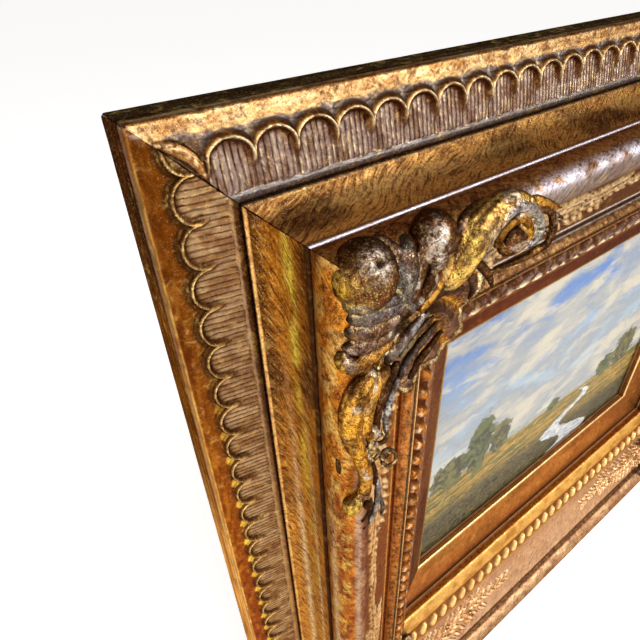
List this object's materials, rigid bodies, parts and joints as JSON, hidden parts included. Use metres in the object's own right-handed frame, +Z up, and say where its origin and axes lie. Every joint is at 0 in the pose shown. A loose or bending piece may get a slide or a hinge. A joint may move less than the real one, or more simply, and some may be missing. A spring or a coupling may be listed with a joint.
{
  "type": "framed oil painting",
  "caption": "Landscape-format oil painting on canvas board in a wide gilt composition frame with shell edge, deep cove, high crest, rope sight and leafy corner ornaments.",
  "frame": {"origin": "where the frame's flat back meets the wall, in the middle of the top rail, 60 mm below its top edge", "axes": "+X to the viewer's right, +Z up, +Y into the wall; the picture faces -Y"},
  "size_m": [0.758, 0.0884, 0.656],
  "materials": {
    "gilt_rail": "worn bronze-gold gilding over composition on wood, satin to semi-gloss, dark in the recesses",
    "gilt_ornament": "burnished gilt composition with dark speckle and grey wash in the hollows",
    "gilt_liner": "satin coppery gilt slip",
    "painting": "varnished oil paint on canvas board"
  },
  "bodies": {
    "root": {"rail_top": "gilt_rail", "rail_bottom": "gilt_rail", "rail_left": "gilt_rail", "rail_right": "gilt_rail", "ornament_top_left": "gilt_ornament", "ornament_top_right": "gilt_ornament", "ornament_bottom_left": "gilt_ornament", "ornament_bottom_right": "gilt_ornament", "liner_top": "gilt_liner", "liner_bottom": "gilt_liner", "liner_left": "gilt_liner", "liner_right": "gilt_liner", "painted_canvas": "painting"}
  },
  "joints": []
}
